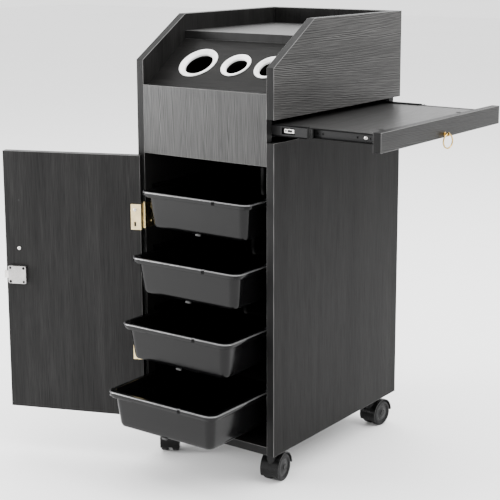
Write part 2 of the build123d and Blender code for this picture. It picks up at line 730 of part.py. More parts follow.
# ---------------------------------------------------------------- casters
plate_size = 42.0
plate_thick = 2.5
plate_low = base_height - plate_thick
boss_radius = 8.5
boss_length = 4.0
stem_radius = 4.0
stem_top = base_height - 0.6
neck_radius = 10.0
neck_top = plate_low - boss_length - 0.4
web_half = 4.0
wheel_inner = 4.6
wheel_width = 13.8
wheel_outer = wheel_inner + wheel_width
hood_half = 19.3
hood_inner_radius = wheel_radius + 1.0
hood_radius = wheel_radius + 3.2
axle_radius = 3.0
axle_head_radius = 5.0
axle_head_thick = 1.2
hub_recess = 1.5
hub_radius = 18.5
hood_cut_drop = 7.0            # the hood is cut off this far below its middle
hood_cut_tilt = 14.0
plate_corner = 5.0
plate_screw_offset = 15.5
plate_screw_radius = 2.0
plate_screw_head = (3.8, 1.8)  # radius, height

caster_x = right_out - caster_inset_x
caster_y = back - caster_inset_y
caster_pivots = {
    "front_left": (-caster_x, -caster_y), "front_right": (caster_x, -caster_y),
    "rear_left": (-caster_x, caster_y), "rear_right": (caster_x, caster_y)}

with BuildPart() as caster_plates:
    for x, y in caster_pivots.values():
        with BuildSketch(Plane((x, y, plate_low))):
            RectangleRounded(plate_size, plate_size, plate_corner)
        extrude(amount=plate_thick)
        with Locations((x, y, plate_low - boss_length)):
            Cylinder(boss_radius, boss_length, align=(Align.CENTER, Align.CENTER, Align.MIN))
        with Locations((x, y, plate_low)):
            Cylinder(stem_radius + running, 30, mode=Mode.SUBTRACT)
        for side_x in (-plate_screw_offset, plate_screw_offset):
            for side_y in (-plate_screw_offset, plate_screw_offset):
                with Locations((x + side_x, y + side_y, plate_low)):
                    Cylinder(plate_screw_radius + running, 12, mode=Mode.SUBTRACT)
caster_plates.part.label = "caster_plates"
export_step(caster_plates.part, "parts/caster_plates.step")

with BuildPart() as caster_screws:
    for x, y in caster_pivots.values():
        for side_x in (-plate_screw_offset, plate_screw_offset):
            for side_y in (-plate_screw_offset, plate_screw_offset):
                with Locations((x + side_x, y + side_y, plate_low - 0.05)):
                    Cylinder(plate_screw_radius, 13, align=(Align.CENTER, Align.CENTER, Align.MIN))
                    Cylinder(*plate_screw_head, align=(Align.CENTER, Align.CENTER, Align.MAX))
caster_screws.part.label = "caster_screws"
export_step(caster_screws.part, "parts/caster_screws.step")

for caster, (x, y) in caster_pivots.items():
    heading = radians(caster_headings[caster])
    trailing = Vector(-sin(heading), cos(heading), 0)
    wheel_centre = Vector(x, y, wheel_radius) + trailing * caster_trail
    side_on = Plane(origin=wheel_centre, x_dir=trailing, z_dir=trailing.cross(Vector(0, 0, 1)))
    with BuildPart() as hood:
        with BuildSketch(side_on.offset(-hood_half)):
            Circle(hood_radius)
            with Locations((0, -hood_radius)):
                Rectangle(3 * hood_radius, 2 * (hood_radius - hood_cut_drop),
                          rotation=hood_cut_tilt, mode=Mode.SUBTRACT)
        extrude(amount=2 * hood_half)
        with Locations((x, y, wheel_radius + 8)):
            Cylinder(neck_radius, neck_top - wheel_radius - 8,
                     align=(Align.CENTER, Align.CENTER, Align.MIN))
        with BuildSketch(side_on.offset(web_half)):
            Circle(hood_inner_radius)
        extrude(amount=2 * hood_half, mode=Mode.SUBTRACT)
        with BuildSketch(side_on.offset(-web_half)):
            Circle(hood_inner_radius)
        extrude(amount=-2 * hood_half, mode=Mode.SUBTRACT)
        with Locations(side_on):
            Cylinder(hub_radius - 6, 2 * web_half)
            Cylinder(axle_radius + running, 4 * web_half, mode=Mode.SUBTRACT)
        with Locations((x, y, neck_top - 1)):
            Cylinder(stem_radius, stem_top - neck_top + 1,
                     align=(Align.CENTER, Align.CENTER, Align.MIN))
    hood.part.label = f"caster_hood_{caster}"
    export_step(hood.part, f"parts/caster_hood_{caster}.step")

    with BuildPart() as axle:
        with Locations(side_on):
            Cylinder(axle_radius, 2 * wheel_outer)
        for side in (-1, 1):
            with Locations(side_on.offset(side * (wheel_outer - axle_head_thick / 2))):
                Cylinder(axle_head_radius, axle_head_thick)
    axle.part.label = f"caster_axle_{caster}"
    export_step(axle.part, f"parts/caster_axle_{caster}.step")

    with BuildPart() as wheels:
        for side in (-1, 1):
            with BuildSketch(Plane(origin=wheel_centre, x_dir=side_on.z_dir, z_dir=trailing)):
                with BuildLine():
                    Polyline(*[(side * along, radius) for along, radius in (
                        (wheel_inner, axle_radius + running), (wheel_inner, wheel_radius - 1.5),
                        (wheel_inner + 1.5, wheel_radius), (wheel_outer - 3.5, wheel_radius),
                        (wheel_outer - 1, wheel_radius - 1), (wheel_outer, wheel_radius - 3.5),
                        (wheel_outer, hub_radius), (wheel_outer - hub_recess, hub_radius - 1),
                        (wheel_outer - hub_recess, axle_radius + running))], close=True)
                make_face()
            revolve(axis=Axis(wheel_centre, side_on.z_dir))
    wheels.part.label = f"caster_wheels_{caster}"
    export_step(wheels.part, f"parts/caster_wheels_{caster}.step")
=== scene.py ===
import bmesh
import bpy
import json
import math
from mathutils import Matrix, Vector


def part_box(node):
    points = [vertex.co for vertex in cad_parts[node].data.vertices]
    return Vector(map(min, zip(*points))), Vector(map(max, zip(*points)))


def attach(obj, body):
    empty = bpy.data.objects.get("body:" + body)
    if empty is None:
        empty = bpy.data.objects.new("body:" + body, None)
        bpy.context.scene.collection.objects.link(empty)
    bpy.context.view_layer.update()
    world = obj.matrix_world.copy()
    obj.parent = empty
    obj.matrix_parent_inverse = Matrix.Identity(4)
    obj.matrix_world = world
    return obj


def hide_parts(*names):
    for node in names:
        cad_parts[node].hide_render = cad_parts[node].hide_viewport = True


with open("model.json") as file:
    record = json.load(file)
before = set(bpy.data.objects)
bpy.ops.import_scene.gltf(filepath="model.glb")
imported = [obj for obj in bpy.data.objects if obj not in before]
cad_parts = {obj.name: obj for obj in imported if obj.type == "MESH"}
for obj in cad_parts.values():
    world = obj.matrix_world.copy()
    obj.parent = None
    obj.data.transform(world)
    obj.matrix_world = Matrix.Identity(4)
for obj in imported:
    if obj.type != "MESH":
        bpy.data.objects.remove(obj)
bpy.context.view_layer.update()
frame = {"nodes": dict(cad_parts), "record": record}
record = frame["record"]
nodes = frame["nodes"]
body_of = {node: body for body, held in record["behaviour"]["bodies"].items() for node in held}
joints = {joint["name"]: joint for joint in record["behaviour"]["joints"]}
MM = 0.001

# ------------------------------------------------------------------ camera
camera_data = bpy.data.cameras.new("camera")
camera_data.sensor_width = 36.0
camera_data.lens = 93.7
camera_data.shift_y = -0.12
camera_data.clip_end = 60.0
camera = bpy.data.objects.new("camera", camera_data)
bpy.context.scene.collection.objects.link(camera)
camera.location = (1.4766, -2.1083, 1.0194)
camera.rotation_euler = (math.radians(90 - 10.807), math.radians(0.179), math.radians(36.01))
bpy.context.scene.camera = camera


# ------------------------------------------------------------------ materials
def graph(name):
    """A new material: its node tree and its main shader."""
    material = bpy.data.materials.new(name)
    material.use_nodes = True
    tree = material.node_tree
    return material, tree, tree.nodes["Principled BSDF"]


def add(tree, kind, **settings):
    """A new shader node with its settings."""
    node = tree.nodes.new(kind)
    for key, value in settings.items():
        setattr(node, key, value)
    return node


def coordinates(tree, scale):
    """Object coordinates in metres, stretched by a scale for each axis."""
    source = add(tree, "ShaderNodeTexCoord")
    mapping = add(tree, "ShaderNodeMapping")
    mapping.inputs["Scale"].default_value = scale
    tree.links.new(source.outputs["Object"], mapping.inputs["Vector"])
    return mapping.outputs["Vector"]


def noise(tree, scale, size, detail=3.0, rough=0.55, warp=0.0):
    """A noise pattern between 0 and 1."""
    node = add(tree, "ShaderNodeTexNoise")
    node.inputs["Scale"].default_value = size
    node.inputs["Detail"].default_value = detail
    node.inputs["Roughness"].default_value = rough
    node.inputs["Distortion"].default_value = warp
    tree.links.new(coordinates(tree, scale), node.inputs["Vector"])
    return node.outputs["Fac"]


def opaque(tone):
    """A colour, or a grey level, as an opaque colour."""
    return (*tone, 1) if isinstance(tone, tuple) else (tone, tone, tone, 1)


def ramp(tree, source, low, high, dark, light):
    """Turn a pattern between two levels into tones between dark and light."""
    node = add(tree, "ShaderNodeValToRGB")
    ends = node.color_ramp.elements
    ends[0].position, ends[1].position = low, high
    ends[0].color, ends[1].color = opaque(dark), opaque(light)
    tree.links.new(source, node.inputs["Fac"])
    return node.outputs["Color"]


def mix(tree, kind, factor, first, second):
    """Blend two colours or patterns."""
    node = add(tree, "ShaderNodeMix", data_type="RGBA", blend_type=kind)
    node.inputs["Factor"].default_value = factor
    tree.links.new(first, node.inputs["A"])
    tree.links.new(second, node.inputs["B"])
    return node.outputs["Result"]


def bump(tree, shader, height, strength, distance):
    """Press a pattern into a shader's surface."""
    node = add(tree, "ShaderNodeBump")
    node.inputs["Strength"].default_value = strength
    node.inputs["Distance"].default_value = distance
    tree.links.new(height, node.inputs["Height"])
    tree.links.new(node.outputs["Normal"], shader.inputs["Normal"])


WAVE_PERIOD = 0.628            # metres between the lines of a wave texture at scale 1


def grained(grain, along, across):
    """A scale for each axis: one along the grain and another across it."""
    return tuple(along if axis == grain else across for axis in "XYZ")


def oak(name, grain, dark=(0.0023, 0.0023, 0.0022), light=(0.014, 0.0137, 0.0134), line=2.3,
        sweep=0.22, curl=13.0, gloss=0.3, slant=0.03):
    """Charcoal melamine printed and pressed with oak grain that runs along one axis.

    The lines are so many millimetres apart, wander by curl and sweep, and lean by slant."""
    material, tree, shader = graph(name)
    pores = noise(tree, grained(grain, 14.0, 700.0), 1.0, 3.0, 0.6, 0.2)
    clouds = noise(tree, grained(grain, 2.0, 30.0), 1.0, 3.0, 0.5, 0.8)
    lines = add(tree, "ShaderNodeTexWave", wave_type="BANDS", bands_direction="DIAGONAL",
                wave_profile="SIN")
    lines.inputs["Scale"].default_value = WAVE_PERIOD / (line * MM)
    lines.inputs["Distortion"].default_value = curl
    lines.inputs["Detail"].default_value = 3.0
    lines.inputs["Detail Scale"].default_value = sweep
    lines.inputs["Detail Roughness"].default_value = 0.55
    tree.links.new(coordinates(tree, grained(grain, slant, 1.0)), lines.inputs["Vector"])
    pattern = mix(tree, "MIX", 0.38, pores, lines.outputs["Fac"])
    tone = ramp(tree, pattern, 0.3, 0.72, dark, light)
    shade = ramp(tree, clouds, 0.3, 0.72, 0.72, 1.2)
    tree.links.new(mix(tree, "MULTIPLY", 1.0, tone, shade), shader.inputs["Base Color"])
    tree.links.new(ramp(tree, pattern, 0.3, 0.7, 0.44, 0.30), shader.inputs["Roughness"])
    shader.inputs["Specular IOR Level"].default_value = gloss
    bump(tree, shader, pattern, 0.6, 0.0003)
    return material


def moulded(name, colour, rough, spread=0.06, grain=900.0, depth=0.00004, strength=0.25,
            gloss=0.5):
    """Moulded plastic, rubber or paint: faint mottling, a fine skin and uneven gloss."""
    material, tree, shader = graph(name)
    mottled = noise(tree, (1, 1, 1), 38.0, 4.0)
    skin = noise(tree, (1, 1, 1), grain, 2.0)
    dark = tuple(c * 0.8 for c in colour)
    light = tuple(min(1.0, c * 1.18) for c in colour)
    tree.links.new(ramp(tree, mottled, 0.3, 0.7, dark, light), shader.inputs["Base Color"])
    tree.links.new(ramp(tree, mottled, 0.25, 0.75, rough - spread, rough + spread),
                   shader.inputs["Roughness"])
    shader.inputs["Specular IOR Level"].default_value = gloss
    bump(tree, shader, skin, strength, depth)
    return material


def plated(name, colour, rough, brushed=(1, 1, 1), size=160.0, spread=0.1):
    """Plated or bare metal with brushing or faint clouding."""
    material, tree, shader = graph(name)
    shader.inputs["Metallic"].default_value = 1.0
    marks = noise(tree, brushed, size, 4.0, 0.6)
    cloud = noise(tree, (1, 1, 1), 55.0, 3.0)
    dark = tuple(c * 0.72 for c in colour)
    tree.links.new(ramp(tree, cloud, 0.3, 0.7, dark, colour), shader.inputs["Base Color"])
    tree.links.new(ramp(tree, marks, 0.3, 0.7, rough - spread, rough + spread),
                   shader.inputs["Roughness"])
    bump(tree, shader, marks, 0.2, 0.00003)
    return material


looks = {
    # the boards are one charcoal melamine; besides their grain, the copies below differ in tone and
    # gloss board by board, set to how light falls on each: painted light and shade, lightest on the
    # front panel and the upper right panel
    "grain_x": oak("oak_grain_x", "X", gloss=0.15),
    "slope_x": oak("oak_slope", "X", gloss=0.045),
    "top_x": oak("oak_top", "X", (0.001, 0.001, 0.001), (0.022, 0.0216, 0.0212), 3.0, gloss=0.75),
    "grain_y": oak("oak_grain_y", "Y", gloss=0.17),
    "shelf_y": oak("oak_shelf", "Y", (0.0008, 0.0008, 0.0008), (0.030, 0.0295, 0.029), 3.6,
                   gloss=0.42),
    "grain_z": oak("oak_grain_z", "Z", gloss=0.04),
    "door_z": oak("oak_door", "Z", (0.0018, 0.0018, 0.0018), (0.022, 0.0216, 0.0212),
                  gloss=0.085),
    "front_z": oak("oak_front", "Z", (0.0015, 0.0015, 0.0015), (0.040, 0.0394, 0.0387), 2.5,
                   0.26, 14.0, 0.22),
    "arched_y": oak("oak_arched_y", "Y", (0.0012, 0.0012, 0.0012), (0.060, 0.0585, 0.057), 3.0,
                    0.13, 15.0, 0.13, 0.1),
    "edge": oak("edge_banding", "Z", (0.0045, 0.0045, 0.0045), (0.010, 0.0099, 0.0098),
                gloss=0.07),
    # the arrises' lighter tone is a painted highlight along the boards' eased edges
    "arris_highlight": oak("painted_arris_highlight", "Z", (0.04, 0.04, 0.04), (0.13, 0.128, 0.125), gloss=0.4),
    "tray_black": moulded("tray_plastic", (0.0018, 0.0018, 0.0019), 0.17, 0.05, 700.0, 0.00002,
                          0.15, 0.17),
    # a lighter, glossier copy of the tray plastic: a painted highlight along the rim's outer curve
    "tray_rim_highlight": moulded("painted_rim_highlight", (0.055, 0.055, 0.056), 0.16, 0.04, 700.0, 0.00002,
                        0.15, 0.9),
    "foot_grey": moulded("tray_foot_skin", (0.03, 0.03, 0.03), 0.4, 0.06, 700.0, gloss=0.25),
    "holder_white": moulded("sleeve_plastic", (0.9, 0.9, 0.89), 0.28, 0.05),
    "hinge_zinc": plated("yellow_zinc", (0.74, 0.60, 0.33), 0.3, (1, 1, 12)),
    "nickel": plated("nickel_plate", (0.74, 0.72, 0.69), 0.28, (1, 1, 8)),
    "lock_nickel": plated("lock_plate", (0.42, 0.41, 0.40), 0.3, (1, 1, 8)),
    "pull_brass": plated("brass_plate", (0.62, 0.42, 0.13), 0.22),
    "slide_black": moulded("black_enamel", (0.0012, 0.0012, 0.0013), 0.3, 0.06, 1200.0, gloss=0.04),
    "slide_web": moulded("dull_enamel", (0.008, 0.008, 0.0082), 0.42, 0.07, 1200.0, gloss=0.14),
    "zinc_steel": plated("bright_zinc", (0.68, 0.68, 0.70), 0.33),
    "caster_black": moulded("caster_nylon", (0.003, 0.003, 0.003), 0.3, 0.08, 800.0, gloss=0.16),
    "wheel_grey": moulded("wheel_tread", (0.004, 0.004, 0.0042), 0.42, 0.08, 500.0, gloss=0.12),
    "hub_grey": moulded("wheel_hub", (0.006, 0.006, 0.0063), 0.34, 0.06, 500.0, gloss=0.16),
    "dowel_wood": oak("dowel_beech", "X", (0.42, 0.29, 0.17), (0.62, 0.45, 0.29)),
    "cam_metal": plated("die_cast", (0.5, 0.5, 0.5), 0.5),
    "cage": moulded("cage_nylon", (0.0016, 0.0016, 0.0016), 0.3, 0.06, 900.0, gloss=0.08),
    # near-black, laid in slots, holes and screw recesses as painted shade
    "painted_hole_shade": moulded("hole_shadow", (0.002, 0.002, 0.002), 0.8),
}


# ------------------------------------------------------------------ making pieces
def place(name, mesh, node, materials, replaced=True, smooth=35.0):
    """Turn a mesh into a piece that rides with a CAD node's body and stands for that node."""
    for look in materials:
        mesh.materials.append(looks[look])
    piece = bpy.data.objects.new(name, mesh)
    bpy.context.scene.collection.objects.link(piece)
    for polygon in mesh.polygons:
        polygon.use_smooth = True
    mesh.set_sharp_from_angle(angle=math.radians(smooth))
    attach(piece, body_of[node])
    if replaced:
        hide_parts(node)
    return piece


def from_bmesh(name, bm, node, materials, replaced=True, smooth=35.0, weighted=False):
    """Turn an editable mesh into a placed piece."""
    bmesh.ops.recalc_face_normals(bm, faces=bm.faces)
    mesh = bpy.data.meshes.new(name)
    bm.to_mesh(mesh)
    bm.free()
    piece = place(name, mesh, node, materials, replaced, smooth)
    if weighted:
        piece.modifiers.new("normals", "WEIGHTED_NORMAL").keep_sharp = True
    return piece


def cad_copy(node):
    """The CAD node's shape as an editable mesh, with its flat faces rejoined."""
    bm = bmesh.new()
    bm.from_mesh(nodes[node].data)
    bm.transform(nodes[node].matrix_world)
    bmesh.ops.remove_doubles(bm, verts=bm.verts, dist=2e-6)
    bmesh.ops.dissolve_limit(bm, angle_limit=math.radians(0.6), verts=bm.verts, edges=bm.edges)
    return bm


def dress(node, look, bevel=0.35, segments=2, smooth=40.0, sharp=35.0):
    """A detailed piece for a CAD node: its own shape with broken edges and a material."""
    bm = cad_copy(node)
    piece = from_bmesh(node + "_piece", bm, node, [look], smooth=smooth)
    rounding = piece.modifiers.new("edges", "BEVEL")
    rounding.width = bevel * MM
    rounding.segments = segments
    rounding.limit_method = "ANGLE"
    rounding.angle_limit = math.radians(sharp)
    piece.modifiers.new("normals", "WEIGHTED_NORMAL").keep_sharp = True
    return piece


def rectangle(left, right, bottom, top):
    return [(left, bottom), (right, bottom), (right, top), (left, top)]


def prism(outline, thickness_axis, low, high, bevel=0.6, segments=2):
    """A board with eased edges: an outline in the two other axes, between two depths.

    Its first material is for the faces, the second for the edges, the third, lighter and glossier,
    for the arrises: a painted highlight along them."""
    others = [axis for axis in range(3) if axis != thickness_axis]
    bm = bmesh.new()
    rows = []
    for depth in (low, high):
        row = []
        for first, second in outline:
            point = [0.0, 0.0, 0.0]
            point[thickness_axis] = depth
            point[others[0]], point[others[1]] = first, second
            row.append(bm.verts.new(point))
        rows.append(row)
    bm.faces.new(rows[0])
    bm.faces.new(rows[1])
    count = len(outline)
    for index in range(count):
        after = (index + 1) % count
        bm.faces.new((rows[0][index], rows[0][after], rows[1][after], rows[1][index]))
    bmesh.ops.recalc_face_normals(bm, faces=bm.faces)
    bmesh.ops.bevel(bm, geom=list(bm.edges), offset=bevel * MM, segments=segments, profile=0.5,
                    affect="EDGES")
    for face in bm.faces:
        across = abs(face.normal[thickness_axis])
        face.material_index = 0 if across > 0.95 else 1 if across < 0.1 else 2
    return bm


def loft(rings):
    """Join rings of equally many points into one skin, closed at both ends."""
    bm = bmesh.new()
    rows = [[bm.verts.new(point) for point in ring] for ring in rings]
    count = len(rings[0])
    for first, second in zip(rows, rows[1:]):
        for index in range(count):
            after = (index + 1) % count
            bm.faces.new((first[index], first[after], second[after], second[index]))
    bm.faces.new(rows[0])
    bm.faces.new(rows[-1])
    return bm


def turned(profile, centre, axis, count=72):
    """Revolve a closed outline of (radius, height) points, in mm, about an axis."""
    axis = Vector(axis).normalized()
    side = axis.orthogonal().normalized()
    other = axis.cross(side)
    bm = bmesh.new()
    columns = []
    for step in range(count):
        angle = math.tau * step / count
        outward = side * math.cos(angle) + other * math.sin(angle)
        columns.append([bm.verts.new(Vector(centre) + outward * radius * MM + axis * height * MM)
                        for radius, height in profile])
    length = len(profile)
    for step in range(count):
        now, then = columns[step], columns[(step + 1) % count]
        for index in range(length):
            after = (index + 1) % length
            bm.faces.new((now[index], now[after], then[after], then[index]))
    bmesh.ops.remove_doubles(bm, verts=bm.verts, dist=1e-7)
    return bm


def merged(parts):
    """Join several bmeshes, each with its material index, into one."""
    whole = bmesh.new()
    for bm, index in parts:
        for face in bm.faces:
            face.material_index = index
        mesh = bpy.data.meshes.new("scratch")
        bm.to_mesh(mesh)
        bm.free()
        whole.from_mesh(mesh)
        bpy.data.meshes.remove(mesh)
    return whole


# ------------------------------------------------------------------ boards
BOARDS = {                     # node: (thickness axis, look of its faces)
    "right_side_panel_lower": (0, "grain_z"), "bottom_panel": (2, "grain_x"),
    "back_panel": (1, "grain_z"), "front_panel": (1, "front_z"), "tray_bay_deck": (2, "grain_x"),
    "holder_bay_floor": (2, "grain_x"), "side_shelf_board": (2, "shelf_y"),
    "side_shelf_fascia": (0, "grain_y"),
}
for node, (axis, look) in BOARDS.items():
    low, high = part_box(node)
    a, b = [other for other in range(3) if other != axis]
    outline = rectangle(low[a], high[a], low[b], high[b])
    from_bmesh(node + "_piece", prism(outline, axis, low[axis], high[axis]), node,
               [look, "edge", "arris_highlight"], smooth=60, weighted=True)

CORNER_RUN, CORNER_RISE = 0.131, 0.0815    # the side boards' sloping upper front corners
for node, look in (("left_side_panel", "grain_z"), ("right_side_panel_upper", "arched_y")):
    low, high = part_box(node)
    outline = [(low[1], low[2]), (high[1], low[2]), (high[1], high[2]),
               (low[1] + CORNER_RUN, high[2]), (low[1], high[2] - CORNER_RISE)]
    from_bmesh(node + "_piece", prism(outline, 0, low[0], high[0]), node,
               [look, "edge", "arris_highlight"], smooth=60, weighted=True)

low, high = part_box("top_shelf")
outline = rectangle(low[0], high[0], low[1], high[1])
from_bmesh("top_shelf_piece", prism(outline, 2, low[2], high[2], 0.3), "top_shelf",
           ["top_x", "edge", "arris_highlight"], smooth=60, weighted=True)
from_bmesh("holder_panel_piece", cad_copy("holder_panel"), "holder_panel", ["slope_x"],
           smooth=20)

# the open door is built square in its own axes (along, across, up) and turned into place
hinge = Vector(joints["door_swing"]["pos_m"])
door_along = Vector(joints["lock_bolt_throw"]["axis"])
door_across = Vector((-door_along.y, door_along.x, 0.0))
door_turn = Matrix((door_along, door_across, (0, 0, 1))).transposed().to_4x4()
to_door = Matrix.Translation(Vector((hinge.x, hinge.y, 0))) @ door_turn
DOOR_EDGE, DOOR_WIDTH, DOOR_FACE, BOARD = 0.0017, 0.2836, 0.0033, 0.016
low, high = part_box("door_panel")
outline = rectangle(DOOR_EDGE, DOOR_EDGE + DOOR_WIDTH, low[2], high[2])
bm = prism(outline, 1, DOOR_FACE, DOOR_FACE + BOARD)
bm.transform(to_door)
from_bmesh("door_panel_piece", bm, "door_panel", ["door_z", "edge", "arris_highlight"],
           smooth=60, weighted=True)

# ------------------------------------------------------------------ trays (in mm)
RIM_RADIUS, RIM_WIDTH, RIM_DEPTH, RIM_HEIGHT = 18.0, 256.0, 390.0, 72.5
NOTCH_X, NOTCH_RADIUS, STEP_X, STEP_DROP = 50.0, 3.5, -61.0, 1.5
REACH = RIM_WIDTH / 2 - RIM_RADIUS         # half of the straight front edge at the rim
STRAIGHT = 88.0                # nearer the middle, points line up on all but the smallest rings
WALL_INSET, WALL_DRAFT, WALL_THICKNESS = 9.0, 8.0, 2.2
STEP_INSET, STEP_BELOW, NOTCH_INSET = 2.3, -8.0, 4.0   # the rings that carry step and notch
CORNER_STEPS, SIDE_STEPS = 8, 24
FOOT_BACK, FOOT_HALF, FOOT_DROP = 17.0, 5.5, 2.8       # behind the rim, half width, below
SHEEN_INSET, SHEEN_TOP, SHEEN_BOTTOM = 7.0, 0.2, 2.1   # the rim's outer curve gets a lighter, glossier material: a painted highlight
front_xs = sorted(set([-REACH + 6 * k for k in range(37)] + [REACH]
                      + [NOTCH_X + 0.5 * k for k in range(-9, 10)]
                      + [STEP_X + 0.5 * k for k in range(-2, 3)]))


def wall(height, extra=0.0):
    """Inset of the tray's wall at a height below the rim."""
    return WALL_INSET + extra + WALL_DRAFT * (-height / RIM_HEIGHT)


def inner(height):
    return wall(height, WALL_THICKNESS)


def along_front(x, reach):
    """Where a point of the longest front edge falls on a shorter one."""
    if reach < STRAIGHT:
        return x * reach / REACH
    if abs(x) <= STRAIGHT:
        return x
    beyond = (abs(x) - STRAIGHT) * (reach - STRAIGHT) / (REACH - STRAIGHT)
    return math.copysign(STRAIGHT + beyond, x)


TRAY_PROFILE = [               # (inset, height), from the underside round the rim to the inside
    (60, -72.5), (27, -72.5), (21.5, -72.1), (18.6, -70.7), (17.3, -68.3), (wall(-64), -64),
    (wall(-42), -42), (wall(-20), -20), (wall(-4), -4), (9.3, -2.6), (7, -2.4), (3, -2.5),
    (2.3, -3.2), (2.2, -8.3), (1.7, -9.0), (0.5, -9.0), (0, -8.5), (0, -2.4), (0.25, -1.4),
    (0.9, -0.6), (2.0, -0.1), (3.2, 0), (7.6, 0), (9.3, -0.25), (10.6, -1.2), (11.4, -3.0),
    (inner(-8), -8), (inner(-28), -28), (inner(-48), -48), (inner(-62), -62),
    (19.0, -66.2), (20.2, -68.4), (22.4, -69.9), (26, -70.3), (60, -70.3)]


def tray_ring(inset, height, low, high):
    """One level ring of the tray, with the notch and the step in its front rim."""
    radius = max(RIM_RADIUS - 0.28 * inset, 6.0)
    half_w, half_d = RIM_WIDTH / 2 - inset, RIM_DEPTH / 2 - inset
    middle_y = (low[1] + high[1]) / 2 / MM
    rim = high[2] / MM
    reach = half_w - radius
    points = [(along_front(x, reach), -half_d) for x in front_xs[1:-1]]
    corners = [(reach, -half_d + radius, -90), (reach, half_d - radius, 0),
               (-reach, half_d - radius, 90), (-reach, -half_d + radius, 180)]
    for number, (x, y, start) in enumerate(corners):
        for step in range(CORNER_STEPS + 1):
            angle = math.radians(start + 90 * step / CORNER_STEPS)
            points.append((x + radius * math.cos(angle), y + radius * math.sin(angle)))
        if number < 3:
            next_x, next_y, _ = corners[number + 1]
            angle = math.radians(start + 90)
            edge_x, edge_y = x + radius * math.cos(angle), y + radius * math.sin(angle)
            for step in range(1, SIDE_STEPS):
                share = step / SIDE_STEPS
                points.append((edge_x + (next_x - x) * share, edge_y + (next_y - y) * share))
    ring = []
    for x, y in points:
        z = height
        on_front = y < -half_d + 0.01
        if on_front and inset < STEP_INSET and height < STEP_BELOW and x < STEP_X:
            z -= STEP_DROP
        if on_front and inset < NOTCH_INSET and abs(x - NOTCH_X) < NOTCH_RADIUS:
            y = max(y, -RIM_DEPTH / 2 + math.sqrt(NOTCH_RADIUS ** 2 - (x - NOTCH_X) ** 2))
        ring.append(Vector((x, middle_y + y, rim + z)) * MM)
    return ring


for number in range(1, 5):
    node = f"tray_{number}"
    low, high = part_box(node)
    skin = loft([tray_ring(inset, height, low, high) for inset, height in TRAY_PROFILE])
    foot_y = low[1] + FOOT_BACK * MM
    foot_z = high[2] - RIM_HEIGHT * MM
    outline = rectangle(-FOOT_HALF * MM, FOOT_HALF * MM, foot_z - FOOT_DROP * MM, foot_z + 1 * MM)
    foot = prism(outline, 1, foot_y + 0.5 * MM, foot_y + 5 * MM, 0.5)
    whole = merged([(skin, 0), (foot, 2)])
    # faces on the rim's outer curve take the second material, the painted rim highlight
    for face in whole.faces:
        centre = face.calc_center_median()
        edge_gap = min(centre.x - low[0], high[0] - centre.x, centre.y - low[1], high[1] - centre.y)
        below = high[2] - centre.z
        if edge_gap < SHEEN_INSET * MM and SHEEN_TOP * MM < below < SHEEN_BOTTOM * MM:
            face.material_index = 1
    from_bmesh(f"{node}_shell", whole, node, ["tray_black", "tray_rim_highlight", "foot_grey"], smooth=50)

# ------------------------------------------------------------------ holder sleeves
SLEEVES = {"large": (28.5, 40.0), "middle": (21.5, 30.7), "right": (21.5, 30.7)}   # bore, flange
MOUNT_DEPTH = 0.0045           # the bores' mounts lie this far below the panel's face
MOUTH_INSET = 2.6
slope = math.radians(35.0)
slope_normal = Vector((0, -math.sin(slope), math.cos(slope)))
mount_of = {mount["name"]: mount for mount in record["mounts"]}
for size, (bore, flange) in SLEEVES.items():
    mount = mount_of[f"holder_bore_{size}"]
    face = Vector(mount["pos_m"]) + slope_normal * MOUNT_DEPTH
    mouth = flange - MOUTH_INSET
    profile = [(mouth - 0.6, 2.5), (mouth - 1.6, 1.9), (bore + (mouth - bore) * 0.5, 0.5),
               (bore + (mouth - bore) * 0.18, -0.9), (bore + 0.4, -1.7), (bore, -2.6),
               (bore, -5.6), (bore + 0.4, -6), (bore + 1.6, -6), (bore + 2, -5.6),
               (bore + 2, -4.6), (mouth - 0.4, -1.8), (mouth, -1.4), (mouth, 0.02),
               (flange - 0.3, 0.02), (flange, 0.3), (flange, 0.9), (flange - 0.25, 1.6),
               (flange - 0.8, 2.25), (flange - 1.5, 2.6)]
    from_bmesh(f"holder_sleeve_{size}_ring", turned(profile, face, slope_normal, 96),
               f"holder_sleeve_{size}", ["holder_white"], smooth=50)

# ------------------------------------------------------------------ fittings with broken edges
for node in ("tray_runners_left", "tray_runners_right", "slide_outer_front", "slide_outer_rear"):
    dress(node, "slide_black", 0.25)
for node in ("lock_bolt", "lock_plug"):
    dress(node, "nickel", 0.3)
SLIDE_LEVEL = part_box("side_shelf_board")[0][2] + BOARD / 2
WEB_AREA = 1e-3                # upright faces larger than this, in m2, are the slide's web
CAGE_LENGTH = 0.013
ROLLED_EDGE = 0.0022
CAGE_RIBS = ((0.0, 0.0035, 0.0100), (0.0035, 0.0020, 0.0078), (0.0055, 0.0030, 0.0100),
             (0.0085, 0.0045, 0.0086))     # start, length, half height
BALL_PROFILE = [(0.001, 1.55), (0.6, 1.43), (1.1, 1.09), (1.43, 0.6), (1.55, 0),
                (1.43, -0.6), (1.1, -1.09), (0.6, -1.43), (0.001, -1.55)]
BALL_ENDS, BALL_DEPTH, BALL_RISE = (0.0105, 0.0045), 0.0030, 0.0062
LEVER_HOOK = 0.0012            # the lever's bent end stands this far out of its flat
SLOT_FROM_LOW, SLOT_FROM_HIGH, SLOT_HALF = 0.0070, 0.0048, 0.0022
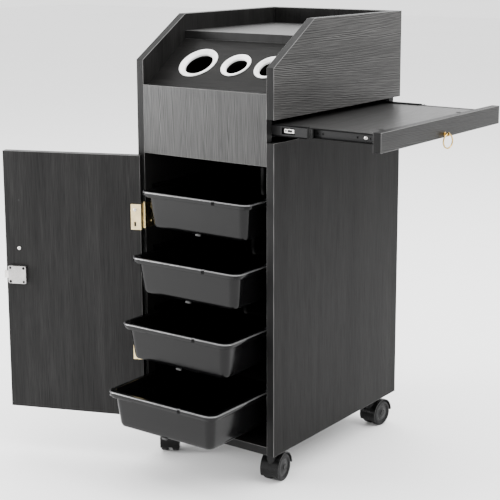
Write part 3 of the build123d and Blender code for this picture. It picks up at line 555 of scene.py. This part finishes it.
for end, toward in (("front", 1), ("rear", -1)):
    member = dress(f"slide_inner_{end}", "slide_black", 0.2)
    member.data.materials.append(looks["slide_web"])
    for polygon in member.data.polygons:
        if abs(polygon.normal.y) > 0.9 and polygon.area > WEB_AREA:
            polygon.material_index = 1

    # the middle member stops short of its ball cage, whose ribs and balls stand out past it
    node = f"slide_middle_{end}"
    low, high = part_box(node)
    bm = cad_copy(node)
    bmesh.ops.bisect_plane(bm, geom=bm.verts[:] + bm.edges[:] + bm.faces[:], dist=1e-6,
                           plane_co=(high[0] - CAGE_LENGTH, 0, 0), plane_no=(1, 0, 0),
                           clear_outer=True)
    bmesh.ops.holes_fill(bm, edges=[edge for edge in bm.edges if edge.is_boundary])
    parts = [(bm, 1)]
    outside = low[1] if toward > 0 else high[1]
    cage_from = high[0] - CAGE_LENGTH
    depths = sorted((outside - toward * 0.0003, outside + toward * 0.0004))
    for bottom, head in ((low[2], low[2] + ROLLED_EDGE), (high[2] - ROLLED_EDGE, high[2])):
        outline = rectangle(low[0], cage_from, bottom, head)
        parts.append((prism(outline, 1, *depths, 0.2), 0))
    depths = sorted((outside + toward * 0.0004, outside + toward * 0.0012))
    for start, length, half in CAGE_RIBS:
        x = cage_from + start
        outline = rectangle(x, x + length, SLIDE_LEVEL - half, SLIDE_LEVEL + half)
        parts.append((prism(outline, 1, *depths, 0.35, 3), 2))
    for side in (-1, 1):
        for from_end in BALL_ENDS:
            centre = (high[0] - from_end, outside + toward * BALL_DEPTH,
                      SLIDE_LEVEL + side * BALL_RISE)
            parts.append((turned(BALL_PROFILE, centre, (0, 1, 0), 20), 3))
    from_bmesh(f"{node}_and_cage", merged(parts), node,
               ["slide_black", "slide_web", "cage", "nickel"], smooth=45)

    # the lever is a bright stamping; a thin dark sheet down its middle paints the shade in its slot
    node = f"release_lever_{end}"
    low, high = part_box(node)
    dress(node, "nickel", 0.4, 3)
    shown = low[1] + LEVER_HOOK if toward > 0 else high[1] - LEVER_HOOK
    outline = rectangle(low[0] + SLOT_FROM_LOW, high[0] - SLOT_FROM_HIGH,
                        SLIDE_LEVEL - SLOT_HALF, SLIDE_LEVEL + SLOT_HALF)
    depths = sorted((shown - toward * 0.00003, shown + toward * 0.0004))
    from_bmesh(f"lever_slot_{end}", prism(outline, 1, *depths, 0.01, 1), node,
               ["painted_hole_shade", "painted_hole_shade", "painted_hole_shade"], replaced=False)
dress("lock_case", "lock_nickel", 0.4, 3, smooth=30)
for node in ("cabinet_hinge_leaves", "door_hinge_leaves", "hinge_pins"):
    dress(node, "hinge_zinc", 0.2)
for node in ("door_pull_post", "shelf_pull_post"):
    dress(node, "pull_brass", 0.4, 3)
for node in ("door_pull_ring", "shelf_pull_ring"):
    ring = dress(node, "pull_brass", 0.05, 1, smooth=80, sharp=80)
    plating = ring.modifiers.new("plating", "DISPLACE")
    plating.strength, plating.mid_level = 0.3 * MM, 0.0
dress("caster_plates", "zinc_steel", 0.4)
dress("side_shelf_cams", "caster_black", 0.4)
dress("panel_dowels", "dowel_wood", 0.6)
dress("cam_fittings", "cam_metal", 0.4)


def screw_head(centre, normal, radius, height, arm=0.11):
    """A pan head whose cross recess is a flat dark cross of painted shade, its arms' half width a
    share of the radius.
    """
    dome = [(0.001, height * 0.55), (radius * 0.16, height * 0.55), (radius * 0.2, height),
            (radius * 0.55, height * 0.95), (radius * 0.82, height * 0.72),
            (radius, height * 0.25), (radius, 0), (0.001, 0)]
    head = turned(dome, centre, normal, 28)
    side = Vector(normal).orthogonal().normalized()
    other = Vector(normal).cross(side)
    middle = Vector(centre) + Vector(normal) * (height * 0.97 + 0.02) * MM
    cross = bmesh.new()
    for long_way, short_way in ((side, other), (other, side)):
        along, across = long_way * radius * 0.5 * MM, short_way * radius * arm * MM
        cross.faces.new([cross.verts.new(middle + along * a + across * b)
                         for a, b in rectangle(-1, 1, -1, 1)])
    return [(head, 0), (cross, 1)]


def door_point(along, across, level):
    """A place in the door's own axes, as a place in the scene."""
    return to_door @ Vector((along, across, level))


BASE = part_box("bottom_panel")[0][2]
SKIN = 0.00002                 # keeps a head clear of the surface that it stands on
door_in = DOOR_FACE + BOARD
lock_along, lock_level = DOOR_EDGE + 0.258, BASE + 0.299
LOCK_FACE, LOCK_HOLE = 0.009, 0.014        # the case's thickness, its holes' offset each way
HINGE_LEVELS, HINGE_HOLE = (0.166, 0.427), 0.014
LEAF_HOLES = 0.011             # from the door's edge to its hinge screws
PULL_SCREW_ALONG, PULL_SCREW_LEVEL = 0.2547, 0.352
BLIND_HOLE_ALONG, BLIND_HOLE_LEVEL = 0.2528, 0.449
heads = []
for a, b in ((-LOCK_HOLE, LOCK_HOLE), (LOCK_HOLE, -LOCK_HOLE)):
    head, cross = screw_head(door_point(lock_along + a, door_in + LOCK_FACE + 0.00005,
                                        lock_level + b), door_across, 2.8, 1.3)
    heads += [(head[0], 2), cross]
for level in HINGE_LEVELS:
    heads += screw_head(door_point(DOOR_EDGE + LEAF_HOLES, door_in + 0.0012 + SKIN,
                                   BASE + level + HINGE_HOLE), door_across, 3.4, 1.2)
heads += screw_head(door_point(DOOR_EDGE + PULL_SCREW_ALONG, door_in + SKIN,
                               BASE + PULL_SCREW_LEVEL), door_across, 4.0, 2.6)
from_bmesh("door_screw_heads", merged(heads), "door_screws",
           ["nickel", "painted_hole_shade", "slide_black"], smooth=50)

# dark discs at the lock case's two open holes: painted shade in the holes
SINK_PROFILE = [(0.001, -0.5), (1.7, -0.5), (1.9, 0.04), (2.6, 0.04), (2.7, 0.0), (2.7, -0.2),
                (0.001, -0.7)]
sinks = []
for offset in (LOCK_HOLE, -LOCK_HOLE):
    centre = door_point(lock_along + offset, door_in + LOCK_FACE, lock_level + offset)
    sinks.append((turned(SINK_PROFILE, centre, door_across, 28), 0))
from_bmesh("lock_hole_sinks", merged(sinks), "lock_case", ["painted_hole_shade"], replaced=False)

# a thin dark disc on the door's inner face: painted shade in a blind hole
BLIND_PROFILE = [(0.001, 0.03), (1.5, 0.03), (1.9, 0.06), (2.2, 0.02), (2.2, -0.3), (0.001, -0.3)]
centre = door_point(DOOR_EDGE + BLIND_HOLE_ALONG, door_in, BASE + BLIND_HOLE_LEVEL)
from_bmesh("door_blind_hole", turned(BLIND_PROFILE, centre, door_across, 24), "door_panel",
           ["painted_hole_shade"], replaced=False)

INNER_WALL, CABINET_FRONT = -0.144, -0.2265            # left inner face, front edge
CABINET_LEAF_HOLES, LEAF_FACE = 0.018, 0.00105         # behind the front, out of the wall
heads = []
for level in HINGE_LEVELS:
    for offset in (-HINGE_HOLE, HINGE_HOLE):
        heads += screw_head((INNER_WALL + LEAF_FACE, CABINET_FRONT + CABINET_LEAF_HOLES,
                             BASE + level + offset), (1, 0, 0), 3.4, 1.1)
from_bmesh("cabinet_screw_heads", merged(heads), "cabinet_screws",
           ["hinge_zinc", "painted_hole_shade"], smooth=50)

SHELF_SCREW_XS, SHELF_SCREW_Y, SHELF_SCREW_LEVEL = (0.150, 0.334), 0.2105 - 0.0118, 0.615
heads = []
for sign in (-1, 1):
    for x in SHELF_SCREW_XS:
        heads += screw_head((x, sign * SHELF_SCREW_Y, BASE + SHELF_SCREW_LEVEL), (0, sign, 0),
                            3.6, 1.1, 0.26)
from_bmesh("shelf_screw_heads", merged(heads), "side_shelf_screws",
           ["nickel", "painted_hole_shade"], smooth=50)

# ------------------------------------------------------------------ casters
TREAD = [(25.4, 4.6), (26.3, 5.0), (27.0, 6.4), (27.0, 14.6), (26.5, 16.6), (25.4, 17.8),
         (23.6, 18.4), (19.2, 18.4), (18.4, 17.9), (18.0, 5.2), (18.6, 4.6)]
DISC = [(17.9, 5.2), (17.9, 17.6), (17.2, 18.0), (16.2, 17.6), (15.6, 17.0), (9.2, 17.0),
        (8.4, 17.5), (6.4, 17.5), (5.8, 16.95), (3.05, 16.9), (3.05, 4.7), (5, 4.6), (17, 4.6)]
for caster in ("front_left", "front_right", "rear_left", "rear_right"):
    roll = joints[f"caster_{caster}_roll"]
    centre, axis = Vector(roll["pos_m"]), Vector(roll["axis"])
    dress(f"caster_hood_{caster}", "caster_black", 0.9, 3, smooth=50)
    dress(f"caster_axle_{caster}", "caster_black", 0.4, 3)
    parts = []
    for side in (-1, 1):
        for index, profile in enumerate((TREAD, DISC)):
            mirrored = [(radius, side * height) for radius, height in profile]
            parts.append((turned(mirrored, centre, axis, 72), index))
    from_bmesh(f"caster_wheels_{caster}_pair", merged(parts), f"caster_wheels_{caster}",
               ["wheel_grey", "hub_grey"], smooth=40)
CASTER_X, CASTER_Y, PLATE_HOLE, PLATE_BELOW = 0.1265, 0.1838, 0.0155, 0.00255
heads = []
for x in (-CASTER_X, CASTER_X):
    for y in (-CASTER_Y, CASTER_Y):
        for a, b in ((-1, -1), (-1, 1), (1, -1), (1, 1)):
            heads += screw_head((x + a * PLATE_HOLE, y + b * PLATE_HOLE, BASE - PLATE_BELOW),
                                (0, 0, -1), 3.8, 1.7)
from_bmesh("caster_screw_heads", merged(heads), "caster_screws",
           ["zinc_steel", "painted_hole_shade"], smooth=50)

# ------------------------------------------------------------------ floor and studio light
FLOOR = 14.0
floor_mesh = bpy.data.meshes.new("floor")
floor_mesh.from_pydata([(x, y, 0) for x, y in rectangle(-FLOOR, FLOOR, -FLOOR, FLOOR)], [],
                       [(0, 1, 2, 3)])
floor = bpy.data.objects.new("floor", floor_mesh)
bpy.context.scene.collection.objects.link(floor)
pale, tree, shader = graph("pale_floor")
tree.links.new(ramp(tree, noise(tree, (1, 1, 1), 0.7), 0.3, 0.7, 0.93, 0.95),
               shader.inputs["Base Color"])
shader.inputs["Roughness"].default_value = 0.8
floor_mesh.materials.append(pale)

world = bpy.data.worlds.new("studio")
bpy.context.scene.world = world
world.use_nodes = True
world.node_tree.nodes["Background"].inputs["Color"].default_value = (1, 1, 1, 1)
world.node_tree.nodes["Background"].inputs["Strength"].default_value = 2.0


def softbox(name, place_at, aim, width, height, power):
    """A rectangular lamp that points at a spot."""
    data = bpy.data.lights.new(name, "AREA")
    data.shape, data.size, data.size_y, data.energy = "RECTANGLE", width, height, power
    lamp = bpy.data.objects.new(name, data)
    bpy.context.scene.collection.objects.link(lamp)
    lamp.location = place_at
    lamp.rotation_euler = (Vector(aim) - Vector(place_at)).to_track_quat("-Z", "Y").to_euler()


softbox("key", (-2.1, -2.0, 0.9), (0, 0, 0.6), 0.9, 1.3, 105)
softbox("right_high", (2.4, 0.2, 2.4), (0, 0, 0.8), 1.2, 1.2, 60)
softbox("overhead", (0.0, 0.3, 3.6), (0, 0, 0), 5.0, 5.0, 300)
